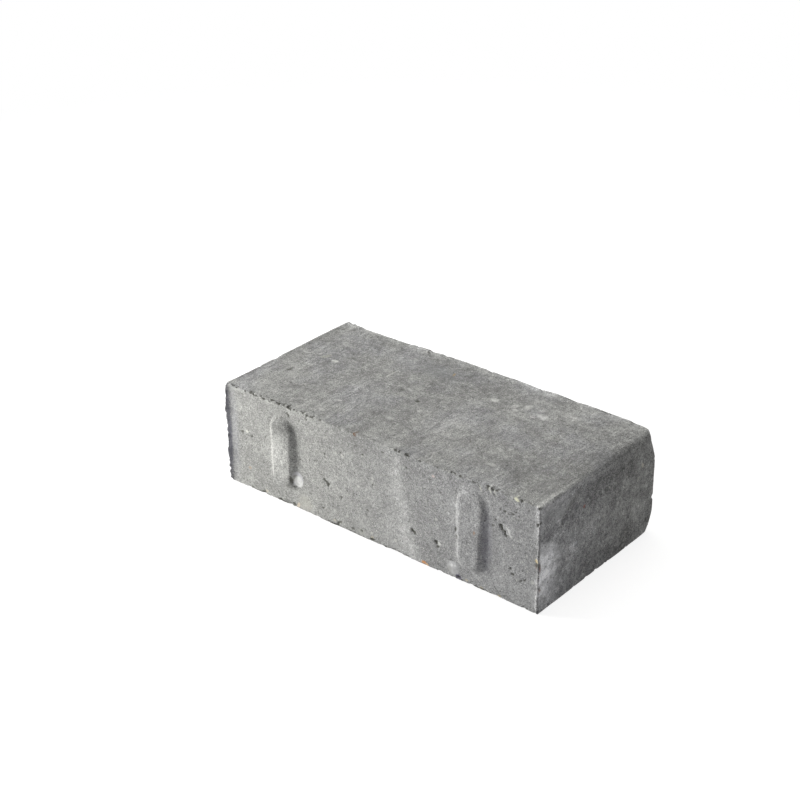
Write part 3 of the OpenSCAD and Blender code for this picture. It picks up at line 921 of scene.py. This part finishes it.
# Clouds of the cement skin's tone, and of the walking face between its streaks: grain in millimetres, and
# how far each swings.
SKIN_CLOUDS = ((60, 0.05), (18, 0.08), (6, 0.08), (2.2, 0.1), (0.9, 0.22), (0.55, 0.44))
FACE_CLOUDS = ((9, 0.12), (4, 0.22), (1.6, 0.14))
# Width of the streaks over their length, and the spacing of sand grains, crisp dots and arris voids.
STREAK = 0.17
SAND, DOTS, VOIDS = 1.1, 2.8, 1.9
# Depth below a face at which its own patterns begin and are full.
FACE_START, FACE_FULL = 0.9, 0.4
PALE_PASTE, WHITE_DOT, GRIT = "#CFCEC8", "#E2E1DD", "#716F67"
GRIT_DEPTH = 0.5


def patches(node, place, grain, detail, start, end, limits=MOST, rough=ROUGH, clamp=False):
    """Start to end, as a cloud with lumps of the grain in millimetres goes through its limits."""
    cloudy = node("TexNoise", place, None, PER_METRE / grain, detail, rough)
    return node("MapRange", cloudy, *limits, start, end, clamp=clamp)


def varied(node, place, tone, swings):
    """A tone times one cloud after another, each given by its grain and how far it swings."""
    for grain, swing in swings:
        tone = node("Math", tone, patches(node, place, grain, 2, 1 - swing, 1 + swing), **TIMES)
    return tone


def shifted(node, place, reach):
    """The place, moved by up to the reach in millimetres, so that outlines drawn there are torn."""
    shift = node("TexNoise", place, None, PER_METRE / SHIFT_GRAIN, 4, 0.7, out="Color")
    shift = node("VectorMath", shift, (0.5, 0.5, 0.5), **LESS)
    shift = node("VectorMath", shift, named={"Scale": reach * MM}, operation="SCALE")
    return node("VectorMath", place, shift, **PLUS)


def nearness(node, block, place, spot, grown):
    """1 in a spot's middle, falling evenly to 0 where its half sizes, grown by a factor, end."""
    face, along, across, half_long, half_wide, turn = spot
    u, v, w, _ = SPOT_AXES[face]
    scale, angle = [MARK_DEPTH * MM] * 3, [0.0] * 3
    scale[u], scale[v] = half_long * grown * MM, half_wide * grown * MM
    angle[w] = math.radians(turn) * (-1 if w != 1 else 1)
    centre = block.spot(face, along, across) * MM
    place = node("Mapping", place, centre, angle, scale, vector_type="TEXTURE")
    return node("TexGradient", place, out="Fac", gradient_type="SPHERICAL")


def crisp_dots(node, place, hollow):
    """Share and colour of the crisp dots, one to a cell: dark where its number is high, white where low.

    The cell's random number also sets the dot's radius.
    """
    cells = node("TexVoronoi", place, None, PER_METRE / DOTS).node.outputs
    number = node("SeparateColor", cells["Color"], out="Green")
    for first, last, reach, share, tint in (
        (0.35, 1, 0.22, 0.7, hollow),
        (0.3, 0, 0.17, 0.75, linear(WHITE_DOT)),
    ):
        radius = node("MapRange", number, first, last, 0, reach)
        inside = node("Math", radius, cells["Distance"], **LESS)
        yield node("MapRange", inside, 0, 0.05, 0, share), tint


def listed_marks(node, block, here, firm, loose):
    """Share and colour of each listed mark, drawn at the firm places or the loose ones."""
    patchy = patches(node, here, 2.0, 3, 0.55, 1, (0.35, 0.6), 0.7, clamp=True)
    for *spot, code, strength, fade in MARKS:
        grown = 1 + fade / 2
        small = fade < TORN_FADE or max(spot[3:5]) < TORN_SIZE
        near = nearness(node, block, firm if small else loose, spot, grown)
        cover = node("MapRange", near, 0, fade / grown, 0, strength)
        if fade >= TORN_FADE:
            cover = node("Math", cover, patchy, **TIMES)
        yield cover, linear(code)


def pressed_concrete(block, colours):
    """Concrete, pressed in a steel mould: a matt grey cement skin over sand.

    The eye sees an even grey with soft pale and dark clouds, a fine speckle of sand grains at about a
    millimetre, short streaks across the walking face where the press struck it off, dark specks of painted
    shade where air was trapped, and here and there a pale stone of the mix or a rusty grain. Pits, arris
    voids, the flash and the nibs' shaded flanks are darkened with painted shade, a few places carry painted
    highlights, and the front turns cooler to the right as painted light.
    """
    material = bpy.data.materials.new("pressed_concrete")
    node = bare(material)
    here = node("TexCoord", out="Object")
    x, y, z = node("SeparateXYZ", here).node.outputs
    hollow, broken, edge, stains_and_painted_light = (
        node("Attribute", out="Fac", attribute_name=name) for name in ("hollow", "broken", "edge", "tone")
    )
    on_top, on_end = (
        node("MapRange", part, (level - FACE_START) * MM, (level - FACE_FULL) * MM)
        for part, level in ((z, block.high[2]), (x, block.high[0]))
    )

    # The walking face's streaks run across the stone, so their patterns are drawn out that way; between
    # them it is mottled.
    drawn = node("Mapping", here, None, None, (1, STREAK, 1))
    fine_streaks = node("TexNoise", drawn, None, PER_METRE, 2, ROUGH)
    fine = node("MapRange", fine_streaks, *MOST, 0.78, 1.22, clamp=False)
    strokes = node("Math", fine, patches(node, drawn, 3.2, 3, 0.76, 1.24), **TIMES)
    lean = node("MapRange", y, -0.045, 0.03, 0.12, -0.12, clamp=False)
    struck = node("TexNoise", here, None, PER_METRE / 24, 2, ROUGH)
    struck = node("MapRange", node("Math", struck, lean, **PLUS), 0.42, 0.66, 0.15, 1)
    worked = node("Mix", struck, None, varied(node, here, 1, FACE_CLOUDS), strokes)

    # Cement skin: pale and dark clouds and speckle down to 0.5 mm, stronger and smeared on the right end,
    # then the broad stains, painted shade and painted highlights of the mesh's tone field, and sand, one cell
    # a grain, each with its own grey.
    tone = varied(node, here, 1, SKIN_CLOUDS)
    tone = node("Mix", on_top, None, tone, node("Math", tone, worked, **TIMES))
    harsh = node("Math", on_end, node("MapRange", stains_and_painted_light, 1.1, 1.9, 0.25, -0.4), **TIMES)
    tone = node("Math", tone, node("Math", harsh, 1, **PLUS), operation="POWER")
    smeared = patches(node, here, 9, 3, 0.82, 1.18)
    smeared = node("Math", smeared, patches(node, here, 3, 2, 0.84, 1.16), **TIMES)
    smeared = node("MapRange", on_end, 0, 1, 1, smeared, clamp=False)
    grains = node("SeparateColor", node("TexVoronoi", here, None, PER_METRE / SAND, out="Color"))
    grains = node("MapRange", grains, 0, 1, 0.9, 1.1, clamp=False)
    for factor in (smeared, stains_and_painted_light, grains):
        tone = node("Math", tone, factor, **TIMES)

    # Paste: cooler at the right of the front, as painted light where the warm key lamp falls off, and in
    # patches of the walking face.
    along, across = node("MapRange", x, -0.04, 0.06), node("MapRange", y, -0.03, 0.03, 1, 0)
    cool = node("Math", along, across, **TIMES)
    cool = node("Mix", on_top, None, cool, patches(node, here, 22, 2, 0, 0.8, (0.45, 0.65), clamp=True))
    paste = node("Mix", cool, out=2, named={6: colours.paste, 7: colours.cool_paste_and_light}, data_type="RGBA")
    base = node("Mix", 1, out=2, named={6: paste, 7: tone}, data_type="RGBA", blend_type="MULTIPLY")

    # Air specks: ragged dots of half a millimetre to a millimetre, thick in some places, darkened with
    # painted shade as tiny pits.
    ragged = node("TexNoise", here, None, PER_METRE / 1.7, 3, 0.75)
    ragged = node("Math", ragged, patches(node, here, 14, 2, 0, 0.04, (0.35, 0.65)), **LESS)
    speck = node("MapRange", ragged, 0.325, 0.285)
    speck = node("Math", speck, node("MapRange", on_top, 0, 1, 1, 0.6), **TIMES)

    # Arrises: broken by a row of voids, darkened with painted shade, thick where the field says so.
    firm, loose = shifted(node, here, TRUE_SHIFT), shifted(node, here, TORN_SHIFT)
    edge = node("MapRange", edge, 0.15, 0.4)
    void = node("TexVoronoi", firm, None, PER_METRE / VOIDS)
    void = node("Math", node("MapRange", void, 0.5, 0.36, 0, 0.85), edge, **TIMES)

    def layers():
        """Share and colour of each layer over the paste, the lowest first."""
        pale = node("TexNoise", here, None, PER_METRE / 1.5, 3, 0.7)
        pale = node("Math", pale, node("MapRange", on_end, 0, 1, 0, 0.04), **PLUS)
        yield node("MapRange", pale, 0.64, 0.72, 0, 0.6), linear(PALE_PASTE)
        yield node("Math", speck, 0.6, **TIMES), colours.hollow
        yield from crisp_dots(node, here, colours.hollow)
        yield void, colours.hollow
        yield from listed_marks(node, block, here, firm, loose)
        # The listed pits again as painted shade, sharper than the mesh can draw their shading.
        pitted = 0
        for *spot, depth in PITS:
            near = nearness(node, block, firm, spot, 1.05)
            near = node("MapRange", near, 0, 0.4, 0, min(depth, DARK_DEPTH) / DARK_DEPTH)
            pitted = node("Math", pitted, near, operation="MAXIMUM")
        yield node("Math", pitted, 0.8, **TIMES), colours.hollow
        # Dirt and shade in the mesh's pits, and coarse dark grit on the breaks.
        yield node("MapRange", hollow, 0.1, 0.6, 0, 0.7), colours.hollow
        yield node("Math", broken, 0.35, **TIMES), linear(GRIT)

    # Each layer is laid as soon as it is made, because Cycles holds few values at a time.
    for share, tint in layers():
        base = node("Mix", share, out=2, named={6: base, 7: tint}, data_type="RGBA")

    # Relief too fine for the mesh: grit of 1.5 and 0.7 mm, the streaks, and the air specks as pits.
    grit = patches(node, here, 1.5, 2, 0, 0.35, (0, 1))
    fine_grit = patches(node, here, 0.7, 1, 0, 1, (0, 1))
    streaks = node("Math", fine_streaks, on_top, **TIMES)
    for part, height in ((fine_grit, 0.4), (streaks, 0.6), (speck, -1), (void, -1.5)):
        grit = node("Math", part, height, grit, operation="MULTIPLY_ADD")
    relief = node("Bump", 1, GRIT_DEPTH * MM, named={"Height": grit})

    skin = node(
        "BsdfPrincipled",
        named={
            "Base Color": base,
            "Metallic": 0,
            "Roughness": 0.92,
            "IOR": 1.5,
            "Specular IOR Level": 0.25,
            "Diffuse Roughness": 0.6,
            "Normal": relief,
        },
    )
    node("OutputMaterial", skin)
    return material


# Studio.

# The camera, fitted to the photograph: place in millimetres, turn in degrees, and lens; and the floor's half
# side and where it fades to white, in metres.
CAMERA_PLACE = (487.27, -606.44, 464.70)
CAMERA_TURN = (62.696, 0.512, 39.865)
CAMERA_LENS = 75.26
FLOOR_HALF = 4.0
FADE_START, FADE_END = 0.3, 0.8
# What the camera sees of the floor near the stone: a grey that takes the shadow, and a glow under it.
SEEN_GREY, SEEN_GLOW = (0.35, 0.35, 0.35), 0.78
WHITE, SKY_TINT, LAMP_TINT = (1, 1, 1), (1, 1, 1.06), (1, 1, 0.965)
# Lamps: place and side, in metres, and the point that they face.
KEY_LAMP, TOP_LAMP = ((-0.61, -0.35, 0.15), 0.28), ((-0.1, 0.3, 1.1), 1.2)
AIM = (0, 0, 0.03)


def soft_lamp(name, place, size, power):
    """A square lamp at a place in metres, facing the stone."""
    lamp = bpy.data.lights.new(name, "AREA")
    lamp.shape, lamp.size, lamp.energy, lamp.color = "SQUARE", size, power, LAMP_TINT
    made = bpy.data.objects.new(name, lamp)
    made.location = place
    x, y, z = np.array(AIM) - np.array(place)
    made.rotation_euler = (math.atan2(math.hypot(x, y), -z), 0, math.atan2(-x, y))
    bpy.context.collection.objects.link(made)


def studio_floor(settings):
    """A level pale floor: to the stone plain paint, to the camera near white with the stone's shadow.

    Away from the stone it turns to the white of the surroundings, so no border shows.
    """
    material = bpy.data.materials.new("matt_painted_floor")
    node = bare(material)
    paint, seen = node("BsdfDiffuse", settings.floor), node("BsdfDiffuse", SEEN_GREY)
    glow, plain = node("Emission", WHITE, SEEN_GLOW), node("Emission", WHITE, 1)
    away = node("VectorMath", node("TexCoord", out="Object"), out="Value", operation="LENGTH")
    far = node("MapRange", away, FADE_START, FADE_END)
    shown = node("MixShader", far, node("AddShader", seen, glow), plain)
    by_camera = node("LightPath", out="Is Camera Ray")
    node("OutputMaterial", node("MixShader", by_camera, paint, shown))

    steps = np.linspace(-FLOOR_HALF, FLOOR_HALF, 9)
    x, y = np.meshgrid(steps, steps, indexing="ij")
    points = np.stack([x, y, np.zeros_like(x)], axis=-1).reshape(-1, 3)
    mesh = bpy.data.meshes.new("studio_floor")
    mesh.from_pydata(points.tolist(), [], sheet_quads(np.arange(x.size).reshape(x.shape)).tolist())
    mesh.materials.append(material)
    floor = bpy.data.objects.new("studio_floor", mesh)
    bpy.context.collection.objects.link(floor)


def studio_world(settings):
    """Even light from all round; the camera sees it as plain white."""
    world = bpy.data.worlds.new("studio_surroundings")
    bpy.context.scene.world = world
    node = bare(world)
    light, white = node("Background", SKY_TINT, settings.sky), node("Background", WHITE, 1)
    by_camera = node("LightPath", out="Is Camera Ray")
    node("OutputWorld", node("MixShader", by_camera, light, white))
    bpy.context.scene.view_settings.view_transform = "Standard"


def studio_camera():
    """The camera, where the photograph's perspective puts it."""
    data = bpy.data.cameras.new("studio_camera")
    data.sensor_width, data.lens = 36.0, CAMERA_LENS
    data.clip_start, data.clip_end = 0.01, 50.0
    camera = bpy.data.objects.new("studio_camera", data)
    camera.location = np.array(CAMERA_PLACE) * MM
    camera.rotation_euler = [math.radians(turn) for turn in CAMERA_TURN]
    bpy.context.collection.objects.link(camera)
    bpy.context.scene.camera = camera


# Add-on.


class PAVING_OT_stone_add(Operator):
    """Build the stone's skin over its CAD solid and finish it as pressed concrete"""

    bl_idname = "paving.stone_add"
    bl_label = "Add Paving Stone"
    bl_options = {"REGISTER", "UNDO"}

    def execute(self, context):
        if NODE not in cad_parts:
            raise RuntimeError(f"the packed model has no node named {NODE}")
        block = Block(context.scene.paving_shape)
        points, quads, fields = stone_skin(block)
        mesh = skin_mesh("pressed_stone", points, quads, fields)
        mesh.materials.append(pressed_concrete(block, context.scene.paving_colours))
        stone = bpy.data.objects.new("pressed_stone", mesh)
        context.collection.objects.link(stone)
        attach(stone, "root")
        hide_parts(NODE)
        return {"FINISHED"}


class PAVING_OT_stage_add(Operator):
    """Build the studio: floor, surroundings, lamps and camera"""

    bl_idname = "paving.stage_add"
    bl_label = "Add Studio"
    bl_options = {"REGISTER", "UNDO"}

    def execute(self, context):
        settings = context.scene.paving_stage
        studio_floor(settings)
        studio_world(settings)
        soft_lamp("key_lamp", *KEY_LAMP, settings.key)
        soft_lamp("top_lamp", *TOP_LAMP, settings.top)
        studio_camera()
        return {"FINISHED"}


class PAVING_PT_panel(Panel):
    """Settings of the paving stone and its studio"""

    bl_idname = "PAVING_PT_panel"
    bl_label = "Paving Stone"
    bl_space_type = "VIEW_3D"
    bl_region_type = "UI"
    bl_category = "Paving"

    def draw(self, context):
        for group, operator in (
            (context.scene.paving_shape, PAVING_OT_stone_add.bl_idname),
            (context.scene.paving_colours, None),
            (context.scene.paving_stage, PAVING_OT_stage_add.bl_idname),
        ):
            box = self.layout.box()
            for name in group.__annotations__:
                box.prop(group, name)
            if operator:
                box.operator(operator)


GROUPS = {"paving_shape": StoneShape, "paving_colours": StoneColours, "paving_stage": StageSettings}
CLASSES = (*GROUPS.values(), PAVING_OT_stone_add, PAVING_OT_stage_add, PAVING_PT_panel)


def register():
    for kind in CLASSES:
        bpy.utils.register_class(kind)
    for name, kind in GROUPS.items():
        setattr(bpy.types.Scene, name, PointerProperty(type=kind))


def unregister():
    for name in GROUPS:
        delattr(bpy.types.Scene, name)
    for kind in reversed(CLASSES):
        bpy.utils.unregister_class(kind)


def main():
    register()
    bpy.ops.paving.stone_add()
    bpy.ops.paving.stage_add()


if __name__ == "__main__":
    main()
